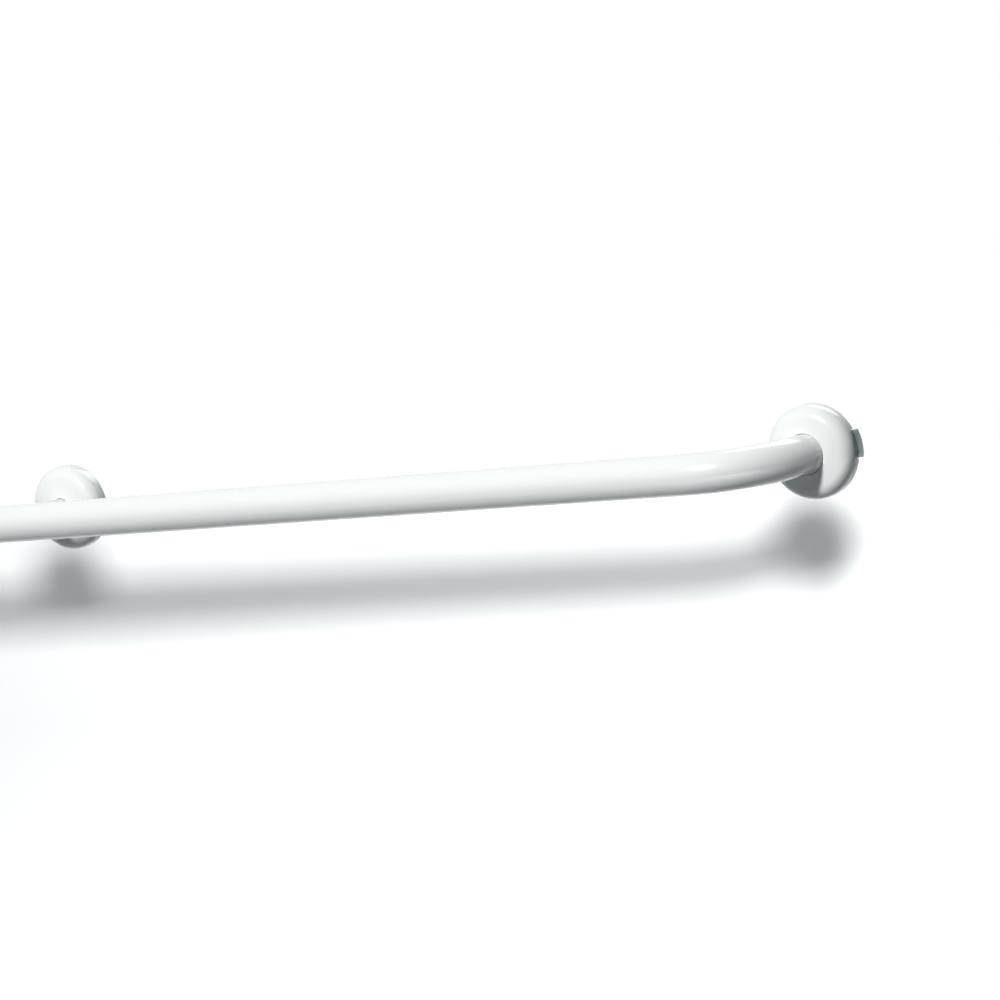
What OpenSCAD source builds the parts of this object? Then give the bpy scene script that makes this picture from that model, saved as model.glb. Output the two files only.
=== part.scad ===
// Wall grab bar on three fixings: one bent tube, a post behind its middle,
// and a wall plate with a push-on domed cover at each fixing.
//
// Frame: X runs along the bar, Z is up, and Y points into the wall. The wall is
// the plane Y = 0, so the whole bar lies at negative Y. The origin is the middle
// of the centre fixing, on the wall.

/* [Bar] */
// Outer diameter of the bar
tube_d = 32; // [25:0.5:40]
// Wall thickness of the tube
tube_wall = 1.5; // [1:0.1:3]
// Distance from the centre fixing to each end fixing
fixing_pitch = 750; // [300:5:900]
// Distance from the wall to the middle of the bar
projection = 78; // [72:1:110]
// Radius of the end bends, to the middle of the tube
bend_r = 72; // [50:1:72]

/* [Centre post] */
// Outer diameter of the post behind the bar
post_d = 20; // [16:0.5:24]
// Wall thickness of the post
post_wall = 2; // [1:0.1:4]
// How much wider the post's neck gets where it meets the bar, on the radius
neck_flare = 2; // [0.5:0.1:3]
// Length of the flared neck
neck_h = 10; // [6:1:14]

/* [Wall plates] */
// Diameter of a wall plate
plate_d = 66; // [62:0.5:67]
// Thickness of a wall plate
plate_t = 3; // [2:0.5:5]
// Chamfer round the front edge of a plate
plate_chamfer = 0.6; // [0.2:0.1:1]
// Leg of the weld round the tube and the post
weld_leg = 3; // [1:0.5:3]
// Number of screw holes in a plate
screw_count = 3; // [3:1:4]
// Diameter of a screw hole
screw_hole_d = 6.5; // [4:0.1:7]
// Diameter of the circle that the screw holes lie on
screw_circle_d = 50; // [48:0.5:54]
// Width of the lug that keys an end cover
lug_w = 22; // [10:1:26]
// How far the lug stands out past the cover
lug_out = 4; // [1:0.5:6]
// How far the lug is turned up from level, in degrees
lug_turn = 5; // [0:1:20]

/* [Covers] */
// Outer diameter of a cover
cover_d = 74; // [73:0.5:90]
// Depth of a cover, from the wall to the top of its dome
cover_h = 19; // [16:0.5:30]
// Wall thickness of a cover
cover_wall = 1.8; // [1.2:0.1:2.5]
// Radius of the rounded edge of a cover
edge_r = 11; // [4:0.5:12]
// Radius of the shallow dome on a cover's face
crown_r = 220; // [150:10:600]
// Width of the lip round the tube hole, inside the cover
lip_w = 2; // [1:0.5:3]
// Depth of that lip
lip_h = 3; // [2:0.5:5]
// Width of a rib that grips the edge of the plate
rib_w = 12; // [6:1:16]
// Height of a grip rib
rib_h = 6; // [4:0.5:8]

/* [Clearances] */
// Gap between a cover and the tube or post that it slides on
slide_gap = 0.4; // [0.3:0.05:1]
// Gap between a grip rib and the edge of the plate
rib_gap = 0.3; // [0.2:0.05:0.6]
// Gap round the lug in the cover's notch, and round a plate that reaches under
// the cover's edge
notch_gap = 0.5; // [0.3:0.1:1]
// Gap between the post's neck and the bar, filled by weld
weld_gap = 0.05; // [0.02:0.01:0.1]

/* [Hidden] */
$fn = 96;

tube_r = tube_d / 2;
post_r = post_d / 2;
plate_r = plate_d / 2;
cover_r = cover_d / 2;
// Straight stretch of tube between a plate and its bend; below zero, the bend
// meets the plate before its quarter turn ends
tail = projection - bend_r - plate_t;
// Middle of the right-hand bend, set so that the tube meets the plate's middle
bend_x = fixing_pitch - sqrt(pow(bend_r, 2) - pow(min(0, tail), 2));
bend_y = -(projection - bend_r);
// How far the bend has carried the tube sideways where it leaves the cover
bend_shift = fixing_pitch - bend_x
    - sqrt(pow(bend_r, 2) - pow(max(0, cover_h + bend_y), 2));
white = "white";
steel = "slategray";
// Overlap that lets a cut run clear of a face
over = 1;

// Turns a shape that is built standing on the wall, +Z outwards, onto the wall
module on_wall(x = 0) {
    translate([x, 0, 0]) rotate([90, 0, 0]) children();
}

module ring(r, wall) {
    difference() {
        circle(r = r);
        circle(r = r - wall);
    }
}

// Quarter turn from the wall to the bar, at the right-hand end
module bend() {
    translate([bend_x, bend_y, 0]) rotate([0, 0, -90])
        rotate_extrude(angle = 90) translate([bend_r, 0]) children();
}

module end_of_tube() {
    if (tail < 0)
        difference() {
            bend() ring(tube_r, tube_wall);
            // The end is trimmed to lie flat on the plate
            on_wall(fixing_pitch) translate([-cover_d, -cover_d, -bend_r])
                cube([2 * cover_d, 2 * cover_d, bend_r + plate_t]);
        }
    else {
        bend() ring(tube_r, tube_wall);
        on_wall(fixing_pitch) translate([0, 0, plate_t])
            linear_extrude(tail) ring(tube_r, tube_wall);
    }
}

module bar_tube() {
    color(white) {
        translate([-bend_x, -projection, 0]) rotate([0, 90, 0])
            linear_extrude(2 * bend_x) ring(tube_r, tube_wall);
        end_of_tube();
        mirror([1, 0, 0]) end_of_tube();
    }
}

module centre_post() {
    neck_z = projection - tube_r - neck_h / 2;
    color(white) difference() {
        on_wall() {
            translate([0, 0, plate_t])
                cylinder(r = post_r, h = projection - plate_t);
            translate([0, 0, neck_z])
                cylinder(r1 = post_r, r2 = post_r + neck_flare, h = neck_h);
        }
        on_wall() translate([0, 0, plate_t - over])
            cylinder(r = post_r - post_wall, h = projection);
        // The saddle that fits the bar
        translate([-fixing_pitch, -projection, 0]) rotate([0, 90, 0])
            cylinder(r = tube_r + weld_gap, h = 2 * fixing_pitch);
    }
}

// Plate for one fixing. A keyed one has a lug to the right, which keeps the hole
// of an end cover in line with the bend; the centre cover needs none
module plate(keyed = true) {
    on_wall() difference() {
        union() {
            cylinder(r = plate_r, h = plate_t - plate_chamfer);
            translate([0, 0, plate_t - plate_chamfer])
                cylinder(r1 = plate_r, r2 = plate_r - plate_chamfer, h = plate_chamfer);
            if (keyed) rotate([0, 0, lug_turn]) intersection() {
                translate([0, -lug_w / 2, 0])
                    cube([cover_d, lug_w, plate_t - plate_chamfer]);
                cylinder(r = cover_r + lug_out, h = plate_t);
            }
        }
        for (i = [0 : screw_count - 1])
            rotate([0, 0, 90 + i * 360 / screw_count])
                translate([screw_circle_d / 2, 0, -over])
                    cylinder(d = screw_hole_d, h = plate_t + 2 * over);
    }
}

// Weld on the face of a plate, round the foot of a tube of radius r
module weld(r) {
    weld_r = r + weld_gap;
    on_wall() translate([0, 0, plate_t]) rotate_extrude()
        polygon([[weld_r, 0], [weld_r + weld_leg, 0], [weld_r, weld_leg]]);
}

module plate_right() {
    color(steel) {
        translate([fixing_pitch, 0, 0]) plate();
        difference() {
            translate([fixing_pitch, 0, 0]) weld(tube_r);
            // A bend that starts below the top of the weld leans into it
            if (tail < weld_leg) bend() circle(r = tube_r + weld_gap);
        }
    }
}

module plate_centre() {
    color(steel) {
        plate(keyed = false);
        weld(post_r);
    }
}

module plate_left() {
    mirror([1, 0, 0]) plate_right();
}

// Half section of a dome: a shallow crown that runs smoothly into a round edge
module dome_profile(r, h, edge, crown) {
    edge_x = r - edge;
    edge_z = h - crown + sqrt(pow(crown - edge, 2) - pow(edge_x, 2));
    crown_x = edge_x * crown / (crown - edge);
    square([r, edge_z]);
    // A large edge circle would reach behind the wall, so it is cut off there
    intersection() {
        translate([edge_x, edge_z]) circle(r = edge);
        square([r, h]);
    }
    intersection() {
        translate([0, h - crown]) circle(r = crown, $fn = 720);
        square([crown_x, h]);
    }
}

// Cover before the hole for the tube is cut; a keyed one has its notch to the right
module cover_blank(lip_r, lip_x, keyed = true) {
    inner_r = cover_r - cover_wall;
    inner_h = cover_h - cover_wall;
    difference() {
        union() {
            difference() {
                rotate_extrude() dome_profile(cover_r, cover_h, edge_r, crown_r);
                rotate_extrude()
                    dome_profile(inner_r, inner_h, edge_r - cover_wall, crown_r - cover_wall);
                // Room for the plate, where it reaches under the cover's edge
                translate([0, 0, -over])
                    cylinder(r = plate_r + notch_gap, h = plate_t + notch_gap + over);
            }
            translate([lip_x, 0, inner_h - lip_h])
                cylinder(r = lip_r, h = lip_h + cover_wall / 2);
            // Ribs fill the space from the edge of the plate to the cover's wall
            for (side = [0, 180]) rotate([0, 0, side]) intersection() {
                cylinder(r = cover_r - cover_wall / 2, h = rib_h);
                translate([-rib_w / 2, plate_r + rib_gap, 0])
                    cube([rib_w, cover_r, rib_h]);
            }
        }
        if (keyed) rotate([0, 0, lug_turn]) translate([0, -lug_w / 2 - notch_gap, -over])
            cube([cover_d, lug_w + 2 * notch_gap, plate_t + notch_gap + over]);
    }
}

module cover_right() {
    hole_r = tube_r + slide_gap;
    color(white) difference() {
        on_wall(fixing_pitch) cover_blank(hole_r + lip_w, -bend_shift);
        bend() circle(r = hole_r);
        if (tail > 0) on_wall(fixing_pitch) cylinder(r = hole_r, h = plate_t + tail);
    }
}

module cover_centre() {
    hole_r = post_r + slide_gap;
    color(white) on_wall() difference() {
        cover_blank(hole_r + lip_w, 0, keyed = false);
        cylinder(r = hole_r, h = cover_h + over);
    }
}

module cover_left() {
    mirror([1, 0, 0]) cover_right();
}

bar_tube();
centre_post();
plate_right();
plate_centre();
plate_left();
cover_right();
cover_centre();
cover_left();
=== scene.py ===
import math

import bpy
from bpy.props import FloatProperty, FloatVectorProperty, IntProperty, PointerProperty
from mathutils import Matrix, Vector


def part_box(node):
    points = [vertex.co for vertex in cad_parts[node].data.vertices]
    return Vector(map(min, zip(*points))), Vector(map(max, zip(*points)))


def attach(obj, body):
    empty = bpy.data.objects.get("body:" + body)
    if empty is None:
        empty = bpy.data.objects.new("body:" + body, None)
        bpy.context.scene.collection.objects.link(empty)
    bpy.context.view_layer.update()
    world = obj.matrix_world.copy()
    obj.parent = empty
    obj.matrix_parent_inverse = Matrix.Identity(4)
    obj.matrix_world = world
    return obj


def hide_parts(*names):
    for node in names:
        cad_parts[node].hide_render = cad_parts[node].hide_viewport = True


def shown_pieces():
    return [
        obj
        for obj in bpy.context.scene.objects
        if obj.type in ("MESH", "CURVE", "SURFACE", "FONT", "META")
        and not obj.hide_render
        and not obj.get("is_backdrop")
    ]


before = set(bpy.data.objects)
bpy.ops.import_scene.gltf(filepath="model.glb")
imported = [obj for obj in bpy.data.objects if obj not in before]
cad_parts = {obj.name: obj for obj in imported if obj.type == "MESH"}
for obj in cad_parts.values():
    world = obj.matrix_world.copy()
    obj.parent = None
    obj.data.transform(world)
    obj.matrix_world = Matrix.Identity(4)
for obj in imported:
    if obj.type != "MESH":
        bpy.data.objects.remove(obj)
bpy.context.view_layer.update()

bl_info = {
    "name": "Grab bar finish",
    "version": (1, 0, 0),
    "blender": (4, 5, 0),
    "location": "3D View > Sidebar > Grab bar",
    "description": "Surfaces, welds and studio for a wall grab bar on three fixings",
    "category": "Object",
}

COVERS = ("cover_right", "cover_centre", "cover_left")
PLATES = ("plate_right", "plate_centre", "plate_left")

# Sizes that the CAD parts in model.glb give
TUBE_LOW, TUBE_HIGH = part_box("bar_tube")
POST_LOW, POST_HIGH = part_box("centre_post")
TUBE_R = TUBE_HIGH.z
BAR_Y = TUBE_LOW.y + TUBE_R
PITCH = TUBE_HIGH.x - TUBE_R
PLATE_FACE = TUBE_HIGH.y
NECK_R = POST_HIGH.x


# Shader maths
class Socket:
    """A shader socket that takes part in Python expressions."""

    def __init__(self, tree, link):
        self.tree, self.link = tree, link

    def _math(self, operation, *values):
        return node(self.tree, "ShaderNodeMath", {"operation": operation}, values)

    def __add__(self, other):
        return self._math("ADD", self, other)

    def __radd__(self, other):
        return self._math("ADD", other, self)

    def __sub__(self, other):
        return self._math("SUBTRACT", self, other)

    def __rsub__(self, other):
        return self._math("SUBTRACT", other, self)

    def __mul__(self, other):
        return self._math("MULTIPLY", self, other)

    def __rmul__(self, other):
        return self._math("MULTIPLY", other, self)

    def __truediv__(self, other):
        return self._math("DIVIDE", self, other)

    def __pow__(self, other):
        return self._math("POWER", self, other)


def node(tree, kind, settings=None, inputs=(), output=0):
    """Adds a node: its settings first, then the values or links of its sockets."""
    made = tree.nodes.new(kind)
    for name, value in (settings or {}).items():
        if name == "stops":
            ramp = made.color_ramp
            while len(ramp.elements) < len(value):
                ramp.elements.new(1.0)
            for element, (place, colour) in zip(ramp.elements, value):
                element.position, element.color = place, (*colour, 1.0)
        else:
            setattr(made, name, value)
    pairs = inputs.items() if isinstance(inputs, dict) else enumerate(inputs)
    for key, value in pairs:
        if isinstance(value, Socket):
            tree.links.new(value.link, made.inputs[key])
        else:
            made.inputs[key].default_value = value
    return Socket(tree, made.outputs[output]) if made.outputs else None


class Finish:
    """A new material, with the patterns that this object's surfaces share."""

    def __init__(self, name):
        self.material = bpy.data.materials.new(name)
        self.material.use_nodes = True
        self.tree = self.material.node_tree
        self.tree.nodes.clear()
        self.place = node(self.tree, "ShaderNodeTexCoord", output="Object")

    def add(self, kind, settings=None, inputs=(), output=0):
        return node(self.tree, kind, settings, inputs, output)

    def axes(self, place=None):
        split = self.tree.nodes.new("ShaderNodeSeparateXYZ")
        self.tree.links.new((place or self.place).link, split.inputs[0])
        return [Socket(self.tree, out) for out in split.outputs]

    def moved(self, scale=(1, 1, 1), shift=(0, 0, 0)):
        return self.add("ShaderNodeMapping", {}, {"Vector": self.place, "Location": shift, "Scale": scale})

    def noise(self, scale, detail=2.0, rough=0.5, place=None, twist=0.0):
        return self.add("ShaderNodeTexNoise", {}, {
            "Vector": place or self.place, "Scale": scale, "Detail": detail,
            "Roughness": rough, "Distortion": twist})

    def between(self, value, low, high, to_low=0.0, to_high=1.0):
        return self.add("ShaderNodeMapRange", {"interpolation_type": "SMOOTHSTEP"},
                        {"Value": value, "From Min": low, "From Max": high,
                         "To Min": to_low, "To Max": to_high})

    def spread(self, value, low, high):
        return self.add("ShaderNodeMapRange", {}, {"Value": value, "To Min": low, "To Max": high})

    def blend(self, factor, first, second):
        """A colour between two colours, plain or linked."""
        inputs = {0: factor}
        for key, colour in ((6, first), (7, second)):
            inputs[key] = colour if isinstance(colour, Socket) else (*colour, 1.0)
        return self.add("ShaderNodeMix", {"data_type": "RGBA"}, inputs, 2)

    def relief(self, height, depth, under=None):
        inputs = {"Height": height, "Distance": depth, "Strength": 1.0}
        if under:
            inputs["Normal"] = under
        return self.add("ShaderNodeBump", {}, inputs)

    def close(self, **inputs):
        """The surface itself: inputs are the shader's sockets, with spaces as _."""
        surface = self.add("ShaderNodeBsdfPrincipled", {},
                           {name.replace("_", " "): value for name, value in inputs.items()})
        self.add("ShaderNodeOutputMaterial", {}, {"Surface": surface})
        return self.material


# Steps that the pieces share
def deselect():
    if bpy.context.object and bpy.context.object.mode != "OBJECT":
        bpy.ops.object.mode_set(mode="OBJECT")
    bpy.ops.object.select_all(action="DESELECT")


def choose(piece):
    deselect()
    piece.select_set(True)
    bpy.context.view_layer.objects.active = piece
    return piece


def pick(piece, test, kind="VERT"):
    """In edit mode, selects the points that pass the test."""
    bpy.ops.mesh.select_mode(type=kind)
    bpy.ops.mesh.select_all(action="DESELECT")
    bpy.ops.object.mode_set(mode="OBJECT")
    for point in piece.data.vertices:
        point.select = bool(test(point.co))
    for edge in piece.data.edges:
        edge.select = all(piece.data.vertices[i].select for i in edge.vertices)
    bpy.ops.object.mode_set(mode="EDIT")


def apply_modifier(piece, kind, **settings):
    modifier = piece.modifiers.new(kind.title(), kind)
    for name, value in settings.items():
        setattr(modifier, name, value)
    choose(piece)
    bpy.ops.object.modifier_apply(modifier=modifier.name)


def settle(piece):
    """Puts the finished piece's place into its mesh."""
    choose(piece)
    bpy.ops.object.transform_apply(location=True, rotation=True, scale=True)
    bpy.ops.object.shade_smooth_by_angle(angle=math.radians(32))


def coat(piece, material):
    piece.data.materials.clear()
    piece.data.materials.append(material)


def dress(name, cad, body, material, edge):
    """A copy of a CAD node with its sharp edges eased, which stands for the node."""
    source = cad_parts[cad]
    piece = bpy.data.objects.new(name, source.data.copy())
    bpy.context.scene.collection.objects.link(piece)
    choose(piece)
    bpy.ops.object.mode_set(mode="EDIT")
    bpy.ops.mesh.select_all(action="SELECT")
    bpy.ops.mesh.remove_doubles(threshold=0.000002)
    bpy.ops.mesh.customdata_custom_splitnormals_clear()
    bpy.ops.mesh.dissolve_limited(angle_limit=math.radians(0.05))
    bpy.ops.object.mode_set(mode="OBJECT")
    apply_modifier(piece, "BEVEL", width=edge, segments=3, limit_method="ANGLE",
                   angle_limit=math.radians(40), harden_normals=False)
    settle(piece)
    coat(piece, material)
    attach(piece, body)
    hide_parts(cad)
    return piece


# Settings
class GrabBarTubeSettings(bpy.types.PropertyGroup):
    bend_radius: FloatProperty(
        name="Bend radius", description="Radius of the end bends, to the middle of the tube",
        default=0.072, min=0.05, max=0.12, subtype="DISTANCE", unit="LENGTH")
    wall: FloatProperty(
        name="Wall", description="Wall thickness of the tube",
        default=0.0015, min=0.001, max=0.003, subtype="DISTANCE", unit="LENGTH")
    sides: IntProperty(
        name="Sides", description="Faces round the tube", default=128, min=48, max=256)
    colour: FloatVectorProperty(
        name="Coat", description="Colour of the powder coat",
        default=(0.86, 0.885, 0.885), min=0.0, max=1.0, size=3, subtype="COLOR")
    peel: FloatProperty(
        name="Orange peel", description="Depth of the powder coat's fine waves",
        default=0.00003, min=0.0, max=0.0002, subtype="DISTANCE", unit="LENGTH")
    bead: FloatProperty(
        name="Post weld", description="Radius of the painted weld where the post meets the bar",
        default=0.0015, min=0.0005, max=0.003, subtype="DISTANCE", unit="LENGTH")


class GrabBarCoverSettings(bpy.types.PropertyGroup):
    colour: FloatVectorProperty(
        name="Plastic", description="Colour of the covers",
        default=(0.865, 0.885, 0.885), min=0.0, max=1.0, size=3, subtype="COLOR")
    edge: FloatProperty(
        name="Edge", description="How far a cover's sharp edges are eased",
        default=0.0003, min=0.0001, max=0.001, subtype="DISTANCE", unit="LENGTH")


class GrabBarPlateSettings(bpy.types.PropertyGroup):
    colour: FloatVectorProperty(
        name="Plating", description="Colour of the plated steel",
        default=(0.16, 0.19, 0.195), min=0.0, max=1.0, size=3, subtype="COLOR")
    edge: FloatProperty(
        name="Edge", description="How far a plate's sharp edges are eased",
        default=0.0002, min=0.00005, max=0.0005, subtype="DISTANCE", unit="LENGTH")


class GrabBarStageSettings(bpy.types.PropertyGroup):
    backdrop_gap: FloatProperty(
        name="Backdrop", description="How far the backdrop stands behind the wall plates",
        default=0.9, min=0.1, max=3.0, subtype="DISTANCE", unit="LENGTH")
    backdrop_top: FloatProperty(
        name="Backdrop top", description="Height of the backdrop's top edge, which stays below the bar",
        default=-0.14, min=-1.0, max=-0.05, subtype="DISTANCE", unit="LENGTH")
    floor: FloatProperty(
        name="Floor", description="Height of the floor",
        default=-0.9, min=-3.0, max=-0.3, subtype="DISTANCE", unit="LENGTH")
    key: FloatProperty(
        name="Key lamp", description="Strength of the lamp above and in front of the bar",
        default=165.0, min=0.0, max=1000.0, subtype="POWER", unit="POWER")
    rear: FloatProperty(
        name="Rear lamp", description="Strength of the wide lamp above and behind the bar",
        default=45.0, min=0.0, max=1000.0, subtype="POWER", unit="POWER")
    backdrop_lamp: FloatProperty(
        name="Backdrop lamp", description="Strength of the lamp that throws the bar's shadow on the backdrop",
        default=250.0, min=0.0, max=1000.0, subtype="POWER", unit="POWER")
    surroundings: FloatProperty(
        name="Surroundings", description="Strength of the light that comes from all round",
        default=0.05, min=0.0, max=1.0)


# Finishes
def powder_coat(settings):
    """Gloss white powder coat: fine waves, faint thickness changes and specks."""
    f = Finish("gloss_powder_coat")
    white = tuple(settings.colour)
    thin = tuple(c * 0.955 for c in white)
    cloud = f.noise(9.0, 3.0, 0.55)
    streak = f.noise(1.0, 2.0, 0.6, f.moved((3.0, 60.0, 60.0)))
    colour = f.blend(f.spread(cloud * 0.6 + streak * 0.4, 0.0, 1.0), thin, white)
    speck = f.between(f.noise(900.0, 1.0, 0.4), 0.74, 0.80)
    colour = f.blend(speck * 0.25, colour, (0.55, 0.57, 0.57))
    waves = f.noise(420.0, 2.0, 0.45)
    long_waves = f.noise(120.0, 1.0, 0.5)
    normal = f.relief(waves * 0.7 + long_waves * 0.6 + speck * 0.5, settings.peel)
    rough = f.spread(f.noise(35.0, 3.0, 0.6), 0.16, 0.27)
    return f.close(Base_Color=colour, Roughness=rough, Normal=normal, IOR=1.48,
                   Coat_Weight=0.25, Coat_Roughness=0.12)


def cover_plastic(settings):
    """Gloss moulded plastic: polish marks round the dome, faint flow and hairlines."""
    f = Finish("gloss_cover_plastic")
    white = tuple(settings.colour)
    x, y, z = f.axes()
    third = f.add("ShaderNodeMath", {"operation": "ROUND"}, (x / PITCH,))
    dx = x - third * PITCH
    radius = f.add("ShaderNodeMath", {"operation": "SQRT"}, (dx * dx + z * z,))
    flow = f.noise(26.0, 3.0, 0.6, twist=0.8)
    colour = f.blend(f.spread(flow, 0.0, 1.0), tuple(c * 0.965 for c in white), white)
    # Painted shade: a blotchy darker band at the cover's foot, where its edge meets the wall
    foot = f.between(y, -0.0022, -0.0002)
    colour = f.blend(foot * f.between(f.noise(180.0, 3.0, 0.6), 0.35, 0.7) * 0.35,
                     colour, (0.42, 0.44, 0.44))
    rings = f.add("ShaderNodeMath", {"operation": "SINE"}, (radius * 5200.0,))
    hair = f.between(f.noise(60.0, 4.0, 0.7, f.moved((6.0, 1.0, 40.0))), 0.66, 0.72)
    normal = f.relief(rings * 0.06 + f.noise(70.0, 2.0, 0.5) * 0.9 - hair * 0.25, 0.000016)
    rough = f.spread(f.noise(48.0, 4.0, 0.65), 0.11, 0.21) + hair * 0.10
    return f.close(Base_Color=colour, Roughness=rough, Normal=normal, IOR=1.49)


def plated_steel(settings):
    """Dull zinc-plated steel: rolled grain, spangle, and a rippled weld with heat tint."""
    f = Finish("zinc_plated_steel")
    base = tuple(settings.colour)
    x, y, z = f.axes()
    third = f.add("ShaderNodeMath", {"operation": "ROUND"}, (x / PITCH,))
    dx = x - third * PITCH
    radius = f.add("ShaderNodeMath", {"operation": "SQRT"}, (dx * dx + z * z,))
    turn = f.add("ShaderNodeMath", {"operation": "ARCTAN2"}, (z, dx))
    side = f.add("ShaderNodeMath", {"operation": "ABSOLUTE"}, (third,))
    foot = NECK_R * 0.84 + side * (TUBE_R - NECK_R * 0.84)
    out = radius - foot
    grain = f.noise(60.0, 5.0, 0.7, f.moved((0.6, 14.0, 14.0)))
    spangle = f.add("ShaderNodeTexVoronoi", {"feature": "F1"},
                    {"Vector": f.place, "Scale": 190.0, "Randomness": 1.0}, "Color")
    tone = f.add("ShaderNodeRGBToBW", {}, (spangle,))
    colour = f.blend(f.spread(grain * 0.6 + tone * 0.4, 0.0, 1.0),
                     tuple(c * 0.72 for c in base), tuple(min(1.0, c * 1.22) for c in base))
    tint = f.add("ShaderNodeValToRGB", {"stops": [
        (0.0, (0.20, 0.20, 0.21)), (0.25, (0.17, 0.19, 0.27)), (0.45, (0.30, 0.22, 0.17)),
        (0.75, (0.36, 0.33, 0.24)), (1.0, base)]}, (out / 0.009,))
    heat = f.between(out, 0.010, 0.0025)
    colour = f.blend(heat * 0.8, colour, tint)
    on_weld = f.between(out, 0.0036, 0.0026) * f.between(y, PLATE_FACE - 0.0001, PLATE_FACE - 0.0006)
    ripple = f.add("ShaderNodeMath", {"operation": "SINE"},
                   (turn * 44.0 + f.noise(240.0, 2.0, 0.5) * 3.0,))
    normal = f.relief(ripple * on_weld * 0.5 + grain * 0.12 + tone * 0.05, 0.0004)
    rough = f.spread(f.noise(90.0, 4.0, 0.6), 0.30, 0.46) + tone * 0.06
    return f.close(Base_Color=colour, Metallic=f.spread(grain, 0.82, 0.95), Roughness=rough, Normal=normal)


# Pieces
class GRABBAR_OT_tube(bpy.types.Operator):
    """Model the bent tube and coat it"""

    bl_idname = "grabbar.tube"
    bl_label = "Bent tube"

    def execute(self, context):
        settings = context.scene.grabbar_tube
        bend = settings.bend_radius
        bend_x, bend_y = PITCH - bend, BAR_Y + bend
        deselect()
        bpy.ops.mesh.primitive_circle_add(vertices=settings.sides, radius=TUBE_R, fill_type="NOTHING",
                                          location=(bend_x, BAR_Y, 0), rotation=(0, math.pi / 2, 0))
        tube = context.object
        tube.name = tube.data.name = "coated_tube"
        bpy.ops.object.transform_apply(location=True, rotation=True, scale=True)
        bpy.ops.object.mode_set(mode="EDIT")
        bpy.ops.mesh.select_all(action="SELECT")
        bpy.ops.mesh.spin(steps=56, angle=-math.pi / 2, center=(bend_x, bend_y, 0), axis=(0, 0, 1))
        pick(tube, lambda p: p.y > bend_y - 0.00001 and p.x > bend_x + bend / 4)
        bpy.ops.mesh.extrude_region_move(
            TRANSFORM_OT_translate={"value": (0, PLATE_FACE - bend_y, 0)})
        pick(tube, lambda p: abs(p.x - bend_x) < 0.00001)
        steps = 24
        for _ in range(steps):
            bpy.ops.mesh.extrude_region_move(TRANSFORM_OT_translate={"value": (-bend_x / steps, 0, 0)})
        bpy.ops.object.mode_set(mode="OBJECT")
        apply_modifier(tube, "MIRROR", use_axis=(True, False, False), use_clip=True, merge_threshold=0.00002)
        bpy.ops.object.mode_set(mode="EDIT")
        bpy.ops.mesh.select_all(action="SELECT")
        bpy.ops.mesh.remove_doubles(threshold=0.000005)
        bpy.ops.mesh.normals_make_consistent(inside=False)
        bpy.ops.object.mode_set(mode="OBJECT")
        apply_modifier(tube, "SOLIDIFY", thickness=settings.wall, offset=-1.0)
        settle(tube)
        coat(tube, powder_coat(settings))
        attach(tube, "bar")
        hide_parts("bar_tube")
        return {"FINISHED"}


class GRABBAR_OT_post(bpy.types.Operator):
    """Coat the centre post and lay the painted weld round its neck"""

    bl_idname = "grabbar.post"
    bl_label = "Centre post"

    def execute(self, context):
        settings = context.scene.grabbar_tube
        material = bpy.data.materials["gloss_powder_coat"]
        dress("coated_post", "centre_post", "bar", material, 0.0003)
        deselect()
        # A ring as wide as the neck, dropped on to the back of the bar
        bpy.ops.mesh.primitive_circle_add(vertices=144, radius=NECK_R + 0.0004, fill_type="NOTHING",
                                          location=(0, BAR_Y + TUBE_R + 0.004, 0),
                                          rotation=(math.pi / 2, 0, 0))
        weld = context.object
        weld.name = weld.data.name = "post_weld"
        bpy.ops.object.transform_apply(location=True, rotation=True, scale=True)
        apply_modifier(weld, "SHRINKWRAP", target=bpy.data.objects["coated_tube"], wrap_method="PROJECT",
                       use_project_y=True, use_negative_direction=True, use_positive_direction=False)
        choose(weld)
        bpy.ops.object.convert(target="CURVE")
        weld = context.object
        weld.data.bevel_depth = settings.bead
        weld.data.bevel_resolution = 6
        weld.data.use_fill_caps = False
        bpy.ops.object.convert(target="MESH")
        weld = context.object
        bpy.ops.object.mode_set(mode="EDIT")
        bpy.ops.mesh.select_all(action="SELECT")
        bpy.ops.mesh.remove_doubles(threshold=0.000005)
        bpy.ops.mesh.normals_make_consistent(inside=False)
        bpy.ops.object.mode_set(mode="OBJECT")
        settle(weld)
        weld.name = weld.data.name = "post_weld"
        coat(weld, material)
        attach(weld, "bar")
        return {"FINISHED"}


class GRABBAR_OT_covers(bpy.types.Operator):
    """Ease the edges of the three covers and give them their gloss"""

    bl_idname = "grabbar.covers"
    bl_label = "Domed covers"

    def execute(self, context):
        settings = context.scene.grabbar_cover
        material = cover_plastic(settings)
        bodies = {"cover_right": "right_cover", "cover_centre": "centre_cover", "cover_left": "left_cover"}
        for cad in COVERS:
            dress("domed_" + cad, cad, bodies[cad], material, settings.edge)
        return {"FINISHED"}


class GRABBAR_OT_plates(bpy.types.Operator):
    """Ease the edges of the three wall plates and plate them"""

    bl_idname = "grabbar.plates"
    bl_label = "Wall plates"

    def execute(self, context):
        settings = context.scene.grabbar_plate
        material = plated_steel(settings)
        for cad in PLATES:
            dress("plated_" + cad, cad, "bar", material, settings.edge)
        return {"FINISHED"}


# Stage
def aim(thing, place, target):
    thing.location = place
    thing.rotation_mode = "QUATERNION"
    thing.rotation_quaternion = (Vector(target) - Vector(place)).to_track_quat("-Z", "Y")


def direction(azimuth, height):
    """A unit arrow towards a lamp: azimuth 0 is straight out from the wall, in degrees."""
    a, h = math.radians(azimuth), math.radians(height)
    return Vector((math.sin(a) * math.cos(h), -math.cos(a) * math.cos(h), math.sin(h)))


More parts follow.
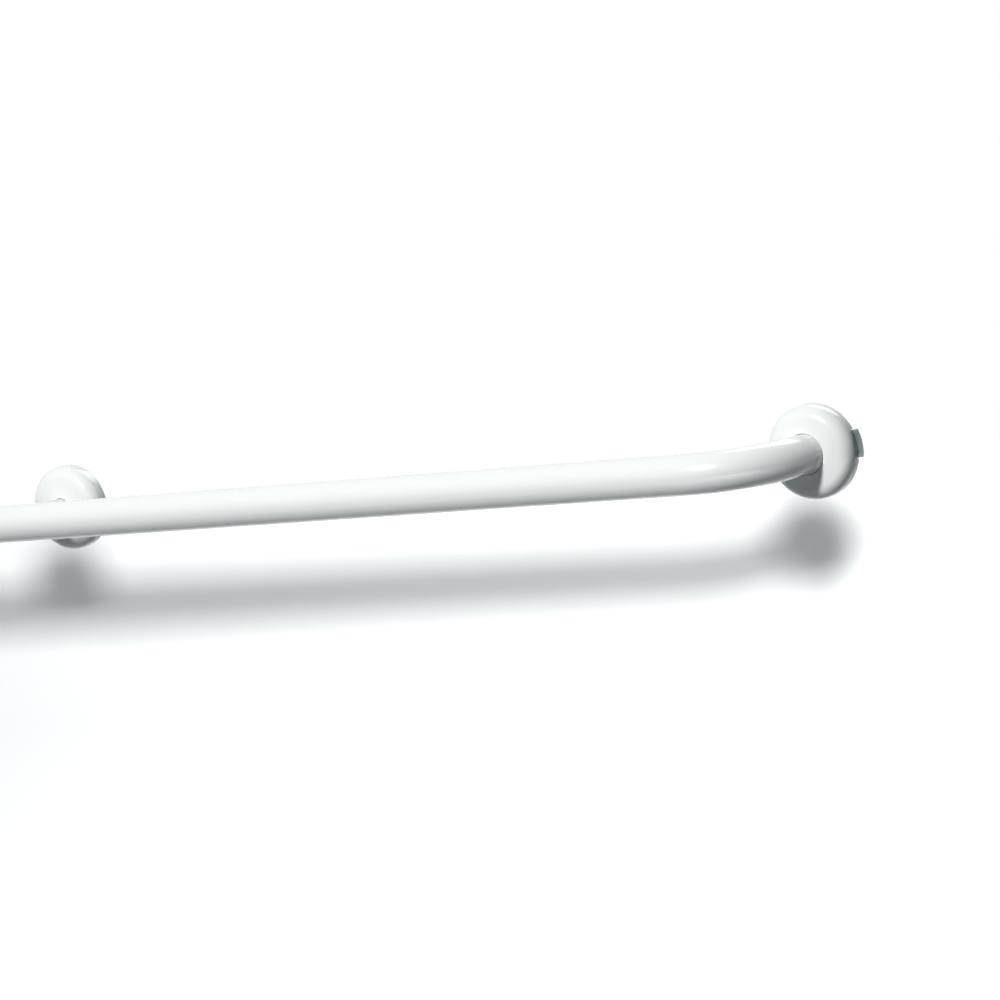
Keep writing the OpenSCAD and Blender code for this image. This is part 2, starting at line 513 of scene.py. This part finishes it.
def lamp(name, place, target, size, power, colour, lit):
    """A square lamp that lights one group of objects."""
    data = bpy.data.lights.new(name, "AREA")
    data.shape, data.size, data.energy, data.color = "SQUARE", size, power, colour
    thing = bpy.data.objects.new(name, data)
    bpy.context.scene.collection.objects.link(thing)
    aim(thing, place, target)
    thing.light_linking.receiver_collection = lit
    return thing


class GRABBAR_OT_stage(bpy.types.Operator):
    """Set up the backdrop, lamps, surroundings and camera"""

    bl_idname = "grabbar.stage"
    bl_label = "Stage"

    def execute(self, context):
        settings = context.scene.grabbar_stage
        scene = context.scene
        scene.view_settings.view_transform = "Standard"

        # Camera
        azimuth, height, roll = math.radians(34.725), math.radians(7.206), math.radians(-8.981)
        back = Vector((math.sin(azimuth) * math.cos(height),
                       -math.cos(azimuth) * math.cos(height), math.sin(height)))
        right = Vector((0, 0, 1)).cross(back).normalized()
        up = back.cross(right)
        right, up = (math.cos(roll) * right + math.sin(roll) * up,
                     -math.sin(roll) * right + math.cos(roll) * up)
        eye = Vector((0.45021, 0, -0.02131)) + 3.1172 * back
        data = bpy.data.cameras.new("camera")
        data.sensor_width, data.lens = 36.0, 137.93
        data.clip_start, data.clip_end = 0.05, 50.0
        camera = bpy.data.objects.new("camera", data)
        scene.collection.objects.link(camera)
        turn = Matrix((right, up, back)).transposed().to_4x4()
        turn.translation = eye
        camera.matrix_world = turn
        scene.camera = camera

        # Floor that curves up to a low backdrop behind the bar
        deselect()
        gap, top, floor = settings.backdrop_gap, settings.backdrop_top, settings.floor
        curve = min(0.5, (top - floor) * 0.7)
        bpy.ops.mesh.primitive_plane_add(size=1, location=(0, -2.5, floor))
        sweep = context.object
        sweep.name = sweep.data.name = "floor_and_backdrop"
        sweep.scale = (14, 2 * (gap - curve + 2.5), 1)
        bpy.ops.object.transform_apply(location=True, rotation=True, scale=True)
        bpy.ops.object.mode_set(mode="EDIT")
        pick(sweep, lambda p: p.y > gap - curve - 0.001)
        steps, last = 24, (gap - curve, floor)
        for step in range(1, steps + 1):
            angle = math.pi / 2 * step / steps
            spot = (gap - curve + curve * math.sin(angle), floor + curve * (1 - math.cos(angle)))
            bpy.ops.mesh.extrude_region_move(
                TRANSFORM_OT_translate={"value": (0, spot[0] - last[0], spot[1] - last[1])})
            last = spot
        bpy.ops.mesh.extrude_region_move(TRANSFORM_OT_translate={"value": (0, 0, top - last[1])})
        bpy.ops.object.mode_set(mode="OBJECT")
        bpy.ops.object.shade_smooth()
        sweep.visible_diffuse = False
        sweep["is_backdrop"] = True

        f = Finish("pale_paper")
        fibre = f.noise(400.0, 3.0, 0.6)
        paper = f.blend(f.spread(fibre, 0.0, 1.0), (0.80, 0.81, 0.81), (0.84, 0.84, 0.84))
        path = f.tree.nodes.new("ShaderNodeLightPath")
        seen = Socket(f.tree, path.outputs["Is Camera Ray"])
        for name in ("Is Glossy Ray", "Is Transmission Ray"):
            seen = f.add("ShaderNodeMath", {"operation": "MAXIMUM"},
                         (seen, Socket(f.tree, path.outputs[name])))
        diffuse = f.add("ShaderNodeBsdfDiffuse", {}, {"Color": paper})
        low = f.between(f.axes()[2], top - 0.42, floor + 0.05)
        glow = f.add("ShaderNodeEmission", {}, {
            "Color": (0.96, 1.0, 1.0, 1.0), "Strength": seen * (low * 0.75 + 0.2)})
        total = f.add("ShaderNodeAddShader", {}, (diffuse, glow))
        f.add("ShaderNodeOutputMaterial", {}, {"Surface": total})
        coat(sweep, f.material)

        # Surroundings: seen as white, and only a little light from them
        world = bpy.data.worlds.new("surroundings")
        scene.world = world
        world.use_nodes = True
        tree = world.node_tree
        tree.nodes.clear()
        path = tree.nodes.new("ShaderNodeLightPath")
        seen = Socket(tree, path.outputs["Is Camera Ray"])
        for name in ("Is Glossy Ray", "Is Transmission Ray"):
            seen = node(tree, "ShaderNodeMath", {"operation": "MAXIMUM"},
                        (seen, Socket(tree, path.outputs[name])))
        dim = node(tree, "ShaderNodeBackground", {}, {
            "Color": (0.72, 0.97, 1.0, 1.0), "Strength": settings.surroundings})
        bright = node(tree, "ShaderNodeBackground", {}, {"Color": (1.0, 1.0, 1.0, 1.0), "Strength": 1.0})
        mixed = node(tree, "ShaderNodeMixShader", {}, (seen, dim, bright))
        node(tree, "ShaderNodeOutputWorld", {}, (mixed,))

        # Lamps: the first two light the bar, and the last two the paper
        bar = bpy.data.collections.new("lit_bar")
        paper_only = bpy.data.collections.new("lit_paper")
        scene.collection.children.link(bar)
        scene.collection.children.link(paper_only)
        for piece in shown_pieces():
            bar.objects.link(piece)
        paper_only.objects.link(sweep)
        middle = Vector((0.35, 0, 0))
        lamp("key_lamp", middle + 4 * direction(2, 37), middle, 0.5, settings.key, (1.0, 1.0, 0.99), bar)
        lamp("rear_lamp", middle + 3.5 * direction(180, 45), middle, 2.0, settings.rear,
             (0.96, 1.0, 1.0), bar)
        lamp("backdrop_lamp", eye + 0.26 * up, eye - 4.2 * back, 0.15, settings.backdrop_lamp,
             (1, 1, 1), paper_only)
        lamp("floor_lamp", (0, -0.5, 3.0), (0, -0.5, floor), 1.5, 40.0, (1, 1, 1), paper_only)
        return {"FINISHED"}


class GRABBAR_PT_panel(bpy.types.Panel):
    """Lists the steps that finish the grab bar"""

    bl_idname = "GRABBAR_PT_panel"
    bl_label = "Grab bar"
    bl_space_type = "VIEW_3D"
    bl_region_type = "UI"
    bl_category = "Grab bar"

    def draw(self, context):
        groups = (
            (context.scene.grabbar_tube, ("grabbar.tube", "grabbar.post")),
            (context.scene.grabbar_cover, ("grabbar.covers",)),
            (context.scene.grabbar_plate, ("grabbar.plates",)),
            (context.scene.grabbar_stage, ("grabbar.stage",)),
        )
        for settings, steps in groups:
            box = self.layout.box()
            for name in settings.__annotations__:
                box.prop(settings, name)
            for step in steps:
                box.operator(step)


SETTINGS = {
    "grabbar_tube": GrabBarTubeSettings,
    "grabbar_cover": GrabBarCoverSettings,
    "grabbar_plate": GrabBarPlateSettings,
    "grabbar_stage": GrabBarStageSettings,
}
OPERATORS = (GRABBAR_OT_tube, GRABBAR_OT_post, GRABBAR_OT_covers, GRABBAR_OT_plates, GRABBAR_OT_stage)


def register():
    for kind in (*SETTINGS.values(), *OPERATORS, GRABBAR_PT_panel):
        bpy.utils.register_class(kind)
    for name, kind in SETTINGS.items():
        setattr(bpy.types.Scene, name, PointerProperty(type=kind))


def unregister():
    for name in SETTINGS:
        delattr(bpy.types.Scene, name)
    for kind in reversed((*SETTINGS.values(), *OPERATORS, GRABBAR_PT_panel)):
        bpy.utils.unregister_class(kind)


def main():
    register()
    bpy.ops.grabbar.tube()
    bpy.ops.grabbar.post()
    bpy.ops.grabbar.covers()
    bpy.ops.grabbar.plates()
    bpy.ops.grabbar.stage()


if __name__ == "__main__":
    main()
